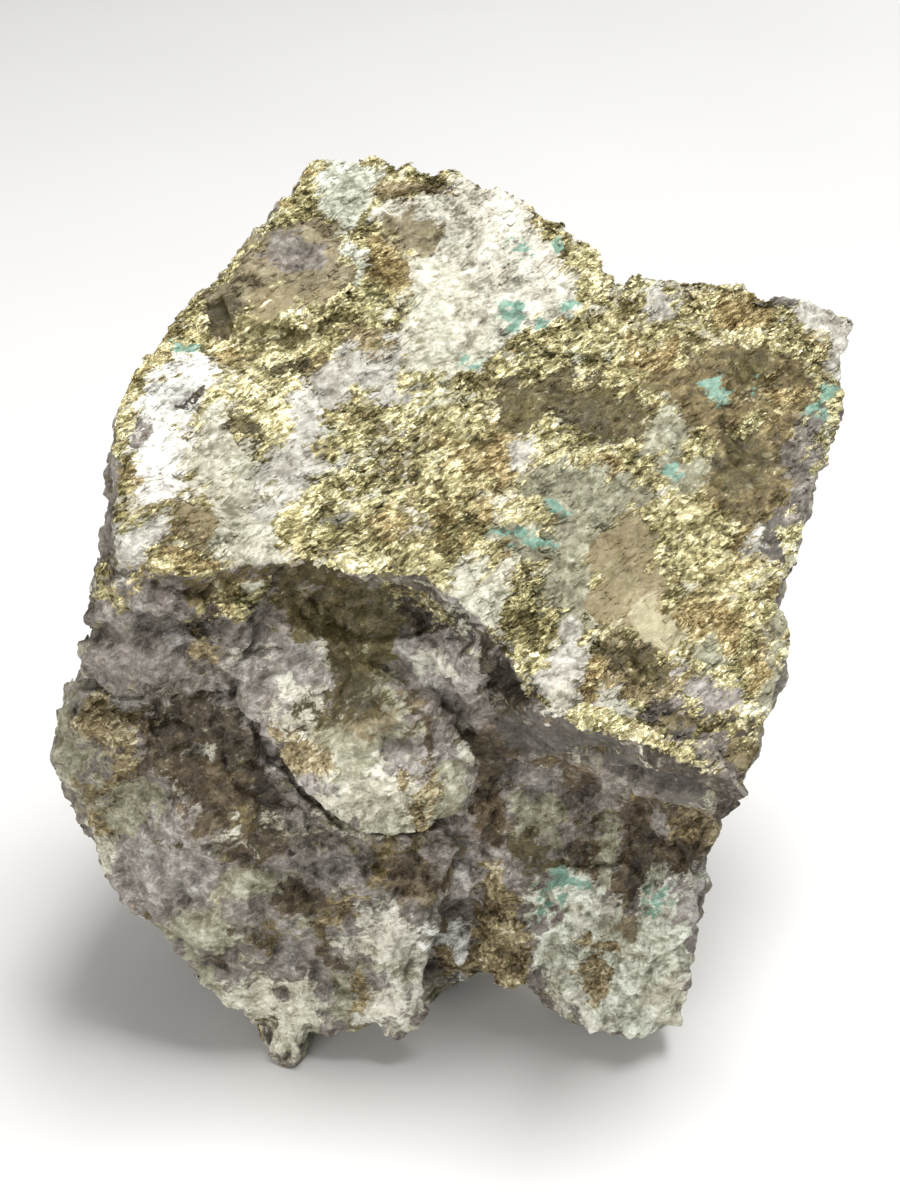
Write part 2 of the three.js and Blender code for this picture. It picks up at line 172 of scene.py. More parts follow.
# Patches on the golden face, in the photograph's pixels: the mineral, and an outline or a spot's middle, half
# sizes and turn (degrees, clockwise on the picture). Later ones lie on top.
Outline = namedtuple("Outline", "rock corners")
Spot = namedtuple("Spot", "rock x y half_width half_height turn", defaults=(0,))
GOLDEN_PATCHES = [
    # Top left: the brown dish in its golden rim
    Outline("taupe", [
        (296, 200), (330, 215), (340, 240), (336, 300), (318, 312), (250, 308), (240, 332), (190, 332),
        (170, 326), (168, 300), (200, 288), (240, 255)]),
    Spot("mauve", 285, 262, 34, 20, 10),
    Spot("gold", 302, 192, 12, 26, 35),
    Spot("gold", 285, 218, 16, 8, -40),
    Spot("gold", 190, 318, 22, 14),
    Outline("tan", [(242, 304), (300, 300), (330, 302), (318, 316), (270, 322), (244, 318)]),
    Outline("olive", [(206, 300), (240, 284), (242, 316), (238, 336), (214, 326)]),
    # The white band from the top down
    Outline("mint", [
        (322, 158), (352, 160), (374, 178), (366, 202), (350, 232), (358, 290), (344, 292), (334, 240),
        (322, 206), (318, 180)]),
    Outline("white", [
        (404, 206), (430, 212), (455, 180), (472, 172), (526, 194), (536, 240), (574, 288), (574, 318),
        (536, 326), (505, 320), (490, 370), (430, 374), (404, 366), (400, 300), (408, 262), (432, 244),
        (404, 222), (360, 222), (362, 208)]),
    Outline("cream", [
        (400, 250), (450, 250), (480, 290), (484, 330), (488, 368), (430, 372), (402, 366)]),
    Spot("bronze", 386, 191, 18, 11),
    Spot("bronze", 434, 196, 20, 11),
    Outline("rust", [(360, 242), (378, 232), (392, 240), (394, 262), (402, 294), (382, 300), (362, 280)]),
    Spot("taupe", 410, 230, 22, 11, -20),
    Spot("gold", 354, 312, 24, 12, -25),
    Outline("pearl", [
        (318, 380), (345, 345), (382, 322), (402, 330), (408, 368), (400, 394), (356, 388), (340, 440),
        (302, 442), (300, 396)]),
    Spot("bronze", 372, 340, 22, 13, 20),
    # The left edge
    Outline("chalk", [
        (165, 354), (212, 352), (214, 372), (200, 386), (206, 396), (192, 412), (196, 440), (200, 470),
        (186, 500), (158, 502), (134, 480), (140, 440), (144, 400)]),
    Spot("teal", 186, 346, 26, 5),
    Spot("umber_and_painted_shade", 182, 404, 12, 4),
    Spot("mauve", 152, 432, 10, 12),
    Outline("cream", [
        (202, 418), (226, 412), (246, 440), (264, 452), (268, 480), (264, 520), (288, 562), (250, 575),
        (215, 552), (205, 508), (196, 470)]),
    Outline("pearl", [
        (272, 446), (300, 440), (330, 452), (334, 474), (300, 500), (262, 520), (262, 480)]),
    Spot("olive", 280, 367, 22, 11),
    Spot("olive", 254, 428, 22, 14, 20),
    Outline("tan", [(160, 508), (196, 500), (216, 516), (216, 552), (192, 548), (166, 532)]),
    Spot("bronze", 184, 532, 22, 9, 30),
    Outline("pearl", [(104, 530), (150, 518), (166, 545), (150, 558), (104, 562)]),
    # The dark dish in the middle
    Outline("olive", [
        (500, 392), (548, 384), (566, 372), (602, 366), (626, 380), (640, 400), (654, 412), (650, 442),
        (606, 446), (566, 424), (524, 436), (500, 420)]),
    # The right end and its brown bowl
    Spot("pearl", 655, 305, 18, 15),
    Spot("rust", 738, 310, 34, 17),
    Spot("rust", 657, 360, 20, 13),
    Spot("mauve", 786, 292, 18, 8, 15),
    Outline("pearl", [
        (804, 306), (840, 304), (858, 312), (852, 372), (826, 378), (820, 340), (804, 326)]),
    Outline("ochre", [
        (640, 382), (692, 366), (730, 350), (775, 346), (806, 374), (806, 430), (794, 505), (764, 536),
        (722, 520), (704, 476), (690, 430), (650, 404)]),
    Outline("olive", [(722, 356), (768, 350), (778, 372), (740, 392), (722, 380)]),
    Outline("olive", [(706, 436), (760, 420), (776, 440), (770, 480), (740, 500), (712, 480)]),
    Spot("rust", 780, 388, 16, 13),
    Spot("gold", 764, 412, 26, 6, -24),
    Spot("gold", 728, 432, 14, 4, -24),
    Outline("frost", [
        (636, 452), (652, 420), (664, 408), (676, 424), (670, 450), (692, 458), (714, 470), (700, 492),
        (672, 484), (650, 474)]),
    Spot("teal", 712, 394, 8, 10),
    Spot("teal", 756, 392, 5, 10),
    Spot("teal", 664, 466, 12, 10),
    Spot("teal", 822, 414, 10, 12, -40),
    Spot("teal", 828, 388, 6, 8),
    Outline("mauve", [(800, 424), (824, 410), (816, 460), (800, 524), (786, 516), (794, 460)]),
    # The right edge, paler along it: partly painted light where it catches the light
    Outline("frost", [
        (766, 600), (788, 600), (786, 640), (780, 700), (766, 730), (758, 712), (772, 660)]),
    Outline("slate_and_painted_shade", [(766, 530), (792, 512), (790, 560), (776, 568)]),
    # The pale band down to the lower edge
    Spot("pearl", 522, 450, 12, 16, 10),
    Outline("frost", [
        (520, 468), (548, 464), (602, 470), (642, 478), (656, 506), (606, 512), (600, 560), (604, 600),
        (584, 604), (570, 640), (560, 690), (544, 700), (536, 640), (548, 590), (540, 566), (500, 560),
        (480, 550), (524, 530), (552, 510), (540, 490)]),
    Outline("tan", [
        (600, 518), (620, 508), (650, 530), (656, 566), (662, 600), (684, 614), (688, 636), (660, 656),
        (620, 624), (590, 624), (598, 580)]),
    Outline("sand", [(616, 616), (636, 600), (676, 606), (688, 618), (688, 636), (660, 654), (640, 642)]),
    Outline("bronze", [
        (588, 624), (620, 626), (660, 658), (684, 656), (684, 690), (648, 702), (618, 682), (600, 652)]),
    Outline("olive", [
        (600, 630), (622, 632), (650, 656), (676, 662), (668, 682), (636, 680), (612, 656)]),
    # Along the lower edge
    Outline("cream", [(438, 576), (500, 562), (508, 600), (504, 644), (478, 630), (440, 604)]),
    Outline("pearl", [
        (552, 620), (572, 612), (578, 650), (572, 690), (546, 704), (530, 680), (548, 656)]),
    Spot("white", 556, 690, 20, 10, -20),
    Outline("gold", [(504, 576), (522, 570), (546, 606), (552, 640), (540, 656), (514, 650), (502, 612)]),
    Spot("white", 620, 702, 20, 9, 20),
    Outline("rust", [(676, 584), (706, 592), (736, 612), (738, 634), (700, 640), (680, 616)]),
    Spot("frost", 704, 650, 12, 13),
    Outline("lavender", [(690, 668), (724, 676), (736, 700), (726, 720), (706, 700), (684, 690)]),
    Outline("rust", [(738, 640), (764, 636), (768, 664), (752, 690), (738, 676)]),
    Spot("mauve", 672, 706, 24, 9, 20),
    Spot("tan", 690, 728, 18, 8, 10),
    Spot("bronze", 650, 728, 20, 7, 12),
    Outline("mauve", [
        (684, 748), (700, 738), (722, 748), (740, 772), (746, 796), (724, 786), (700, 770)]),
    Outline("ochre", [(718, 740), (764, 736), (760, 764), (750, 794), (738, 772)]),
    Spot("tan", 734, 756, 7, 16, -20),
    # A thin dark line under the lower edge: painted shadow.
    Outline("umber_and_painted_shade", [(720, 728), (768, 728), (768, 733), (722, 736)]),
    Spot("rust", 736, 538, 12, 18),
    Spot("pearl", 756, 540, 10, 12),
    # Copper stains
    Spot("teal", 552, 256, 6, 8),
    Spot("teal", 524, 264, 6, 5),
    Spot("teal", 566, 306, 9, 7),
    Spot("teal", 512, 308, 12, 8),
    Spot("teal", 544, 322, 9, 6),
    Spot("teal", 474, 362, 16, 8),
    Spot("teal", 494, 548, 16, 4, -3),
    Spot("teal", 530, 540, 12, 9),
    Spot("teal", 560, 500, 9, 6),
    Spot("rust", 382, 532, 14, 16),
    Spot("rust", 430, 556, 16, 10),
    Spot("pearl", 408, 540, 14, 7),
    # The brightest gold: paler gold laid where it glints most, partly painted highlight
    Outline("gilt", [(238, 318), (300, 324), (346, 330), (330, 352), (262, 358), (236, 345)]),
    Spot("gilt", 282, 408, 15, 24),
    Spot("gilt", 346, 520, 26, 18, -20),
    Spot("white", 348, 520, 12, 8),
    Spot("gilt", 434, 492, 26, 14, -25),
    Outline("gilt", [(356, 566), (396, 538), (440, 546), (460, 576), (448, 612), (420, 606), (380, 590)]),
    Outline("gilt", [(664, 524), (700, 512), (738, 540), (744, 590), (714, 598), (682, 582)]),
]

# The same on the front
FRONT_PATCHES = [
    # The hollow under the golden face: olive partly, and umber along the ledge, as painted shade
    Outline("olive", [
        (262, 574), (300, 562), (332, 566), (364, 586), (384, 606), (424, 614), (452, 632), (466, 652),
        (440, 650), (402, 642), (398, 682), (384, 702), (340, 704), (322, 690), (318, 660), (280, 642),
        (238, 642), (234, 612), (254, 590)]),
    Outline("umber_and_painted_shade", [
        (384, 590), (430, 608), (472, 632), (500, 660), (532, 690), (566, 708), (620, 718), (664, 740),
        (704, 746), (744, 796), (726, 806), (690, 772), (650, 752), (600, 734), (540, 722), (500, 716),
        (476, 690), (440, 646), (400, 624)]),
    # The lump in the hollow; the pale lavender and white on its tops are partly painted light
    Spot("mauve", 246, 632, 24, 16),
    # The lump's top, paler where it turns up to the light, with white on it: partly painted light.
    Outline("lavender", [
        (216, 656), (250, 650), (286, 646), (318, 652), (322, 682), (306, 702), (288, 702), (268, 684),
        (240, 678), (222, 668)]),
    Spot("white", 292, 684, 20, 10, 10),
    Spot("white", 242, 662, 16, 5),
    # The lump under the ridge, paler lavender with a white spot: partly painted highlight.
    Outline("lavender", [
        (398, 652), (430, 640), (462, 638), (478, 660), (478, 700), (440, 702), (412, 690), (400, 670)]),
    Spot("white", 434, 668, 22, 9, -10),
    Outline("mauve", [(404, 694), (440, 704), (480, 704), (500, 722), (470, 730), (430, 714)]),
    Outline("brown", [
        (430, 722), (476, 726), (506, 704), (520, 790), (512, 830), (500, 852), (470, 850), (464, 800),
        (474, 760)]),
    Outline("brown", [(396, 690), (420, 704), (428, 740), (426, 780), (404, 780), (402, 730)]),
    Outline("frost", [
        (322, 724), (346, 704), (384, 690), (400, 712), (406, 770), (402, 802), (330, 800), (318, 760)]),
    Outline("cream", [
        (330, 780), (362, 768), (402, 778), (406, 838), (374, 840), (344, 830), (320, 808)]),
    Spot("taupe", 378, 722, 18, 14),
    Outline("olive", [(302, 700), (350, 694), (390, 706), (380, 716), (330, 716)]),
    # A painted highlight.
    Spot("white", 368, 764, 8, 12, 20),
    Spot("lavender", 393, 758, 13, 20),
    Outline("lavender", [
        (244, 704), (262, 698), (284, 712), (278, 742), (302, 774), (332, 792), (320, 808), (290, 784),
        (264, 756)]),
    Outline("bronze", [(278, 720), (312, 728), (324, 746), (326, 778), (300, 772), (280, 756)]),
    Outline("bronze", [(402, 776), (432, 774), (432, 800), (424, 830), (404, 832)]),
    Outline("frost", [(432, 768), (462, 756), (476, 780), (470, 814), (440, 828), (430, 812)]),
    Spot("lavender", 436, 752, 16, 9),
    # The shoulder and the bowl at the left; umber and brown darken the bowl under the shoulder, partly painted
    # shade
    Outline("mauve", [
        (106, 586), (130, 574), (180, 584), (202, 600), (216, 630), (218, 662), (224, 684), (150, 694),
        (84, 686), (80, 660), (94, 640), (84, 610)]),
    Outline("lavender", [(92, 600), (126, 584), (150, 596), (140, 616), (100, 618)]),
    Spot("lavender", 184, 632, 18, 22, 20),
    Outline("ochre", [
        (120, 556), (160, 560), (206, 556), (260, 576), (252, 602), (206, 606), (180, 594), (150, 578),
        (118, 576)]),
    Outline("umber_and_painted_shade", [(182, 606), (212, 608), (232, 618), (226, 640), (208, 628)]),
    Spot("bronze", 208, 650, 12, 9),
    Spot("rust", 108, 580, 8, 14),
    # Painted shade in the bowl under the shoulder.
    Outline("umber_and_painted_shade", [
        (134, 698), (180, 694), (238, 700), (256, 730), (268, 768), (294, 794), (284, 806), (262, 796),
        (240, 770), (214, 746), (190, 752), (164, 744), (146, 724)]),
    Outline("brown", [
        (140, 720), (168, 744), (214, 748), (240, 772), (262, 798), (240, 812), (190, 796), (150, 770),
        (136, 744)]),
    # The left flank
    Outline("bronze", [
        (88, 694), (112, 690), (132, 706), (136, 742), (126, 772), (124, 802), (110, 820), (94, 812),
        (104, 780), (98, 750), (76, 732), (72, 712)]),
    Outline("frost", [(58, 732), (78, 728), (96, 750), (98, 768), (80, 774), (64, 762)]),
    Outline("frost", [(118, 802), (150, 780), (160, 800), (142, 830), (120, 840), (106, 828)]),
    Spot("bronze", 92, 832, 16, 11, 30),
    Spot("olive", 166, 844, 18, 9),
    # The lower left
    Outline("lavender", [
        (116, 852), (150, 842), (210, 850), (214, 880), (190, 900), (150, 896), (124, 878)]),
    Outline("lavender", [(268, 852), (336, 846), (352, 886), (300, 900), (262, 880)]),
    Spot("frost", 204, 930, 40, 24),
    Spot("frost", 252, 886, 40, 18),
    Spot("mauve", 252, 918, 30, 12),
    Spot("brown", 296, 900, 24, 14, 30),
    Spot("brown", 250, 942, 24, 5, 30),
    Spot("brown", 214, 968, 14, 8, 30),
    Outline("cream", [
        (216, 990), (262, 974), (300, 984), (314, 1012), (302, 1052), (268, 1058), (250, 1022),
        (230, 1010)]),
    Spot("olive", 258, 1014, 9, 7),
    Spot("lavender", 310, 948, 10, 20, 20),
    # The lower middle
    Outline("white", [
        (362, 918), (380, 900), (398, 906), (412, 936), (426, 960), (418, 992), (404, 1024),
        (384, 1034), (364, 1014), (380, 986), (372, 962), (338, 952), (336, 938), (362, 938)]),
    Spot("frost", 384, 962, 20, 8, 15),
    Spot("bronze", 345, 916, 12, 15),
    Spot("bronze", 356, 992, 9, 22, -30),
    Spot("brown", 326, 966, 6, 15, -15),
    Outline("brown", [
        (392, 846), (430, 846), (442, 880), (436, 906), (416, 924), (400, 902), (388, 872)]),
    Spot("taupe", 422, 908, 18, 12),
    Spot("lavender", 466, 880, 13, 26),
    Outline("chalk", [
        (416, 930), (444, 922), (468, 936), (480, 960), (478, 986), (462, 990), (458, 960), (444, 942),
        (422, 948)]),
    Spot("bronze", 442, 962, 18, 15),
    Spot("bronze", 458, 972, 12, 8),
    Spot("frost", 430, 986, 14, 14),
    Outline("bronze", [
        (478, 862), (498, 850), (512, 890), (526, 920), (534, 960), (524, 986), (498, 994), (476, 986),
        (470, 930), (474, 900)]),
    Spot("bronze", 500, 935, 14, 30, -10),
    # The overhang and the steps below it; the slate under the overhang is painted shade
    Outline("slate_and_painted_shade", [
        (504, 722), (546, 714), (600, 712), (624, 726), (614, 744), (590, 758), (560, 766), (512, 756),
        (498, 740)]),
    Outline("slate_and_painted_shade", [
        (600, 760), (650, 756), (690, 772), (716, 786), (690, 796), (640, 790), (604, 782)]),
    Outline("lavender", [(512, 768), (560, 770), (576, 790), (562, 804), (516, 800)]),
    Outline("frost", [(522, 800), (568, 800), (572, 838), (546, 838), (524, 828)]),
    Outline("olive", [(512, 832), (540, 834), (568, 850), (574, 872), (546, 874), (520, 860)]),
    Spot("lavender", 512, 868, 13, 14),
    Spot("brown", 584, 782, 8, 44),
    Spot("brown", 590, 856, 10, 34),
    Spot("lavender", 606, 808, 12, 13),
    Outline("frost", [(598, 826), (622, 824), (624, 850), (612, 884), (600, 872)]),
    Outline("brown", [
        (620, 790), (660, 800), (700, 796), (738, 796), (728, 822), (712, 852), (690, 864), (662, 872),
        (650, 892), (636, 904), (618, 892), (624, 850), (614, 820)]),
    Spot("bronze", 700, 822, 24, 18, -20),
    Spot("umber_and_painted_shade", 646, 858, 8, 26, 15),
    Spot("lavender", 662, 820, 12, 8),
    # The pale foot at the right
    Outline("mint", [
        (520, 886), (560, 872), (602, 882), (636, 906), (660, 880), (698, 870), (690, 930), (688, 1034),
        (640, 1040), (600, 1040), (566, 1012), (546, 986), (526, 976), (532, 930)]),
    Spot("teal", 560, 884, 20, 8),
    Spot("teal", 546, 905, 12, 7),
    Spot("teal", 662, 902, 10, 10),
    Spot("mauve", 544, 926, 14, 9),
    Spot("lavender", 682, 902, 10, 26),
    Spot("white", 612, 912, 16, 14),
    Spot("white", 588, 930, 18, 9),
    Spot("white", 592, 1020, 30, 10),
    Spot("cream", 666, 1000, 18, 28),
    Spot("taupe", 632, 916, 7, 22),
    Spot("bronze", 606, 952, 18, 11),
    Spot("bronze", 600, 988, 11, 18),
]

# Broken ledges of the front: their height, how far from their line it has faded away, and the line in pixels,
# whose left side, going along it, stands out.
Ledge = namedtuple("Ledge", "height fade corners")
LEDGES = [
    Ledge(1.2, 7, [
        (510, 786), (460, 826), (404, 838), (340, 830), (316, 806), (268, 758), (246, 712), (214, 674)]),
    Ledge(0.7, 6, [(240, 694), (180, 692), (120, 702), (72, 688)]),
    Ledge(1.2, 4, [(220, 640), (180, 634), (140, 648), (90, 642)]),
    Ledge(1.0, 4, [(232, 606), (180, 598), (130, 580), (92, 590)]),
    Ledge(1.6, 6, [(750, 800), (704, 746), (664, 742), (620, 718), (560, 708), (520, 696)]),
    Ledge(1.0, 4, [(740, 800), (690, 790), (640, 782), (590, 766), (530, 764)]),
    Ledge(0.7, 4, [(730, 812), (700, 845), (664, 880), (640, 905)]),
    Ledge(0.9, 4, [(300, 900), (240, 862), (180, 846), (120, 812)]),
    Ledge(0.8, 4, [(330, 1000), (280, 956), (240, 930), (190, 918)]),
    Ledge(0.8, 4, [(420, 880), (380, 872), (330, 880), (290, 866)]),
]

# On the sides that the picture doesn't show, the minerals come and go in clouds: their size, how much of the
# stone they cover (about 0 for specks only, 1 for all of it) and their channel of the noise.
HIDDEN_CLOUDS = {
    "gold": (24, 0.40, 11),
    "white": (20, 0.36, 12),
    "lavender": (14, 0.24, 13),
    "frost": (15, 0.20, 14),
    "brown": (13, 0.16, 15),
    "taupe": (17, 0.12, 16),
    "olive": (12, 0.06, 17),
    "ochre": (9, 0.14, 19),
    "rust": (7, 0.10, 18),
    "teal": (6, -0.02, 20),
}

# Smaller clouds of the same kind that mix the minerals of the golden face and of the front.
GOLDEN_CLOUDS = {
    "ochre": (5, 0.10, 21),
    "gilt": (5, 0.12, 22),
    "cream": (3, 0.03, 23),
    "rust": (6, 0.12, 24),
}
FRONT_CLOUDS = {
    "brown": (9, 0.12, 25),
    "lavender": (10, 0.18, 26),
    "frost": (8, 0.14, 27),
    "cream": (6, 0.07, 28),
    "ochre": (5, 0.06, 29),
}
CLOUD_STRETCH = np.array((1.0, 1.0, 0.6))  # clouds stand upright, like stains that ran down
CLOUD_SPREAD = 0.62  # their noise mostly lies between this and its negative
CLOUD_SLOPE = 0.4  # mm of cover for each mm of size, where the noise rises by 1
CLOUD_RAGGED = 0.4  # how ragged they are, as a share of the patches


# ---- Seeded noise over arrays of places ----

# A noise's strength (in mm, or as a share), the size of its swells in mm, and its channel.
Noise = namedtuple("Noise", "strength size channel")


def random_of(cells, channel):
    """One even random number from 0 to 1 for each whole-numbered cell, the same in every run."""
    mixed = (cells * np.array((374761393, 668265263, 1274126177))).sum(-1) + channel * 982451653
    mixed = (mixed ^ (mixed >> 13)) * 1103515245 & 0xFFFFFFFF
    mixed = (mixed ^ (mixed >> 15)) * 747796405 & 0xFFFFFFFF
    return ((mixed ^ (mixed >> 16)) & 0xFFFFFF) / 0xFFFFFF


def three_of(noise, channel):
    """A vector for each place, from three channels of a noise."""
    return np.stack([noise(channel + axis) for axis in range(3)], axis=-1)


def smooth_step(share):
    """Softens the ends of a rise from 0 to 1."""
    return share * share * (3 - 2 * share)


def clouds(places, size, channel, octaves=3):
    """Soft noise from -1 to 1, whose swells are about `size` mm across."""
    total, height, heights = 0.0, 1.0, 0.0
    for octave in range(octaves):
        grid = places / (size / 2**octave) + OCTAVE_SHIFT * octave
        cells = np.floor(grid).astype(np.int64)
        part = smooth_step(grid - cells)
        value = 0.0
        for corner in np.ndindex(2, 2, 2):
            share = np.where(corner, part, 1 - part).prod(-1)
            value = value + share * random_of(cells + corner, channel + 31 * octave)
        total = total + height * (2 * value - 1)
        heights += height
        height /= 2
    return total / heights * CLOUD_GAIN


def swells(places, noise):
    """A noise's clouds at its strength."""
    return noise.strength * clouds(places, noise.size, noise.channel)


def drifted(places, read_at, *noises):
    """Places pushed about by noises that are looked up at `read_at`."""
    for noise in noises:
        push = three_of(lambda channel: clouds(read_at, noise.size, channel, 2), noise.channel)
        places = places + noise.strength * push
    return places


def facets(places, size, channel):
    """The outer envelope of tilted flats, one to each cell of about `size` mm: from about -1 to 1."""
    grid = places / size
    cells = np.floor(grid).astype(np.int64)
    highest = np.full(len(places), -np.inf)
    for step in np.ndindex(3, 3, 3):
        cell = cells + np.array(step) - 1
        middle = cell + three_of(lambda axis: random_of(cell, axis), channel)
        slope = three_of(lambda axis: random_of(cell, axis), channel + 3) - 0.5
        away = grid - middle
        height = random_of(cell, channel + 6) + FACET_TILT * (away * slope).sum(-1)
        height -= FACET_FALL * (away * away).sum(-1)
        np.maximum(highest, height, out=highest)
    return FACET_GAIN * highest - FACET_SINK


def plates(places, size, channel, steps):
    """Sloping plates that end in ledges along wavy lines: from -0.5 to 0.5."""
    level = steps * clouds(places, size, channel, 2)
    part = level - np.floor(level)
    rise = np.clip(part / (1 - PLATE_LEDGE), 0, 1)
    return rise - np.clip((part - 1 + PLATE_LEDGE) / PLATE_LEDGE, 0, 1) - 0.5


def along_streak(places):
    """Places in a frame whose first axis runs with the golden grain, drawn together along it."""
    first = np.array(STREAK) / np.linalg.norm(STREAK)
    second = np.cross((0, 0, 1), first)
    second /= np.linalg.norm(second)
    return places @ np.stack((first / STREAK_STRETCH, second, np.cross(first, second)), axis=1)


# ---- The photograph's camera ----

def photo_axes():
    """The camera's forward, right and up directions."""
    down = math.radians(LOOKS_DOWN)
    forward = np.array((0, math.cos(down), -math.sin(down)))
    right = np.array((1.0, 0, 0))
    return forward, right, np.cross(right, forward)


def photo_ray(x, y):
    """The direction from the camera through a pixel of the photograph."""
    forward, right, up = photo_axes()
    focal = LENS / SENSOR * max(PHOTO_WIDTH, PHOTO_HEIGHT)
    ray = forward + right * (x - PHOTO_WIDTH / 2) / focal + up * (PHOTO_HEIGHT / 2 - y) / focal
    return ray / np.linalg.norm(ray)


def on_plane(pixel, middle, normal):
    """Where the ray through a pixel meets a plane."""
    ray = photo_ray(*pixel)
    return CAMERA_PLACE + ray * ((middle - CAMERA_PLACE) @ normal) / (ray @ normal)


def place_behind(pixel, tree):
    """Where the ray through a pixel meets the stone."""
    return np.array(tree.ray_cast(Vector(CAMERA_PLACE), Vector(photo_ray(*pixel)))[0])


# ---- Minerals over the surface ----

def golden_normal():
    """The way the golden face looks."""
    normal = np.array((-GOLDEN_SLOPES[0], -GOLDEN_SLOPES[1], 1.0))
    return normal / np.linalg.norm(normal)


def corners_of(patch):
    """A patch's outline on the picture; a spot is an ellipse."""
    if isinstance(patch, Outline):
        return np.array(patch.corners, float)
    angles = np.linspace(0, 2 * math.pi, SPOT_CORNERS, endpoint=False)
    turn = math.radians(patch.turn)
    wide, high = patch.half_width * np.cos(angles), patch.half_height * np.sin(angles)
    return np.stack((patch.x + wide * math.cos(turn) - high * math.sin(turn),
                     patch.y + wide * math.sin(turn) + high * math.cos(turn)), axis=1)


def side_distance(points, a, b):
    """How far each point of a plane is from the straight side between two corners."""
    side, offset = b - a, points - a
    share = np.clip(offset @ side / (side @ side), 0, 1)
    return np.linalg.norm(offset - share[:, None] * side, axis=1)


def depth_inside(points, corners):
    """How far inside an outline each point of a plane lies; less than nothing outside it."""
    nearest = np.full(len(points), np.inf)
    inside = np.zeros(len(points), bool)
    for a, b in zip(corners, np.roll(corners, -1, axis=0)):
        np.minimum(nearest, side_distance(points, a, b), out=nearest)
        crosses = (a[1] > points[:, 1]) != (b[1] > points[:, 1])
        if a[1] != b[1]:
            inside ^= crosses & (points[:, 0] < a[0] + (points[:, 1] - a[1]) * (b[0] - a[0]) / (b[1] - a[1]))
    return np.where(inside, nearest, -nearest)


def patch_cover(places, patch, middle, normal, reach):
    """How far inside a patch each place lies. It is drawn on a plane and goes `reach` deep."""
    first = np.cross(normal, (0, 1, 0))
    first /= np.linalg.norm(first)
    across = np.stack((first, np.cross(normal, first)), axis=1)
    corners = np.array([on_plane(pixel, middle, normal) for pixel in corners_of(patch)])
    corners = (corners - middle) @ across
    offset = places - middle
    flat = offset @ across
    near = (flat > corners.min(0) - FAR) & (flat < corners.max(0) + FAR)
    near = near.all(1) & (np.abs(offset @ normal) < reach + FAR)
    cover = np.full(len(places), -FAR)
    cover[near] = np.minimum(depth_inside(flat[near], corners), reach - np.abs(offset[near] @ normal))
    return cover


def lay(shares, rock, cover):
    """Lays one mineral over the others, where it covers them."""
    shown = PUREST * smooth_step(np.clip(cover / ROCKS[rock].soft / 2 + 0.5, 0, 1))
    near = shown > 0
    shares[near] *= 1 - shown[near, None]
    shares[near, list(ROCKS).index(rock)] += shown[near]


def lay_clouds(shares, kinds, places, zone, ragged):
    """Lays clouds of minerals over a zone of the stone."""
    for rock, (size, share, channel) in kinds.items():
        cloud = clouds(places * CLOUD_STRETCH, size, channel) - CLOUD_SPREAD * (1 - 2 * share)
        lay(shares, rock, np.minimum(cloud * size * CLOUD_SLOPE, zone) + CLOUD_RAGGED * ragged)


def mineral_shares(places, normals, tree):
    """How much of each mineral shows at each place: one column for each, which add up to 1."""
    forward, golden = photo_axes()[0], golden_normal()
    combed = along_streak(places)
    golden_places = drifted(places, combed, Noise(2.0, 4.0, 101), Noise(0.8, 1.3, 111))
    front_places = drifted(places, places * CLOUD_STRETCH, Noise(1.8, 5.0, 104), Noise(0.8, 1.4, 114))
    ragged = swells(combed, Noise(1.2, 1.3, 117))
    off_plane = np.abs((places - GOLDEN_MIDDLE) @ golden)
    face = np.minimum((normals @ golden - GOLDEN_COSINE) * COSINE_SLOPE, GOLDEN_DEPTH - off_plane)
    face = face + swells(places, Noise(0.7, 4.0, 121))
    hidden = (normals @ forward - HIDDEN_COSINE) * COSINE_SLOPE + swells(places, Noise(1.5, 9.0, 131))

    shares = np.zeros((len(places), len(ROCKS)))
    shares[:, 0] = 1.0
    lay(shares, "gold", face)
    lay_clouds(shares, HIDDEN_CLOUDS, front_places, hidden, ragged)
    lay_clouds(shares, GOLDEN_CLOUDS, front_places, face, ragged)
    lay_clouds(shares, FRONT_CLOUDS, front_places, -np.maximum(face, hidden), ragged)
    for patch in GOLDEN_PATCHES:
        cover = patch_cover(golden_places, patch, GOLDEN_MIDDLE, golden, GOLDEN_REACH)
        lay(shares, patch.rock, np.minimum(cover + ragged, face + GOLDEN_OVERLAP))
    for patch in FRONT_PATCHES:
        middle = place_behind(corners_of(patch).mean(0), tree)
        cover = patch_cover(front_places, patch, middle, forward, FRONT_REACH)
        lay(shares, patch.rock, np.minimum(cover + ragged, FRONT_OVERLAP - face))
    return shares


# ---- The broken surface ----

def signed_distance(points, line, farthest):
    """How far each point of a plane is from a line of corners: more than nothing at its left."""
    nearest = np.full(len(points), farthest)
    for a, b in zip(line, line[1:]):
        distance = side_distance(points, a, b)
        side, away = b - a, points - a
        left = np.sign(side[0] * away[:, 1] - side[1] * away[:, 0])
        closer = distance < np.abs(nearest)
        nearest[closer] = (distance * left)[closer]
    return nearest


def ledge_heights(places, tree):
    """How far the ledges of the front raise or sink each place."""
    forward, right, up = photo_axes()
    across = np.stack((right, up), axis=1)
    total = np.zeros(len(places))
    for ledge in LEDGES:
        middle = place_behind(ledge.corners[len(ledge.corners) // 2], tree)
        corners = np.array([on_plane(corner, middle, forward) for corner in ledge.corners])
        offset = places - middle
        distance = signed_distance(offset @ across, (corners - middle) @ across, ledge.fade + 1.0)
        step = np.clip(distance / LEDGE_RISE, *LEDGE_STEP)
        fading = np.clip(1 - np.abs(distance) / ledge.fade, 0, 1) ** LEDGE_FADING
        fading *= np.abs(offset @ forward) < FRONT_REACH
        total += ledge.height * step * fading
    return total


def raised(weights, noise, pattern, places, **settings):
    """One layer of the broken surface, as strong as its weights."""
    return weights * noise.strength * pattern(places, noise.size, noise.channel, **settings)


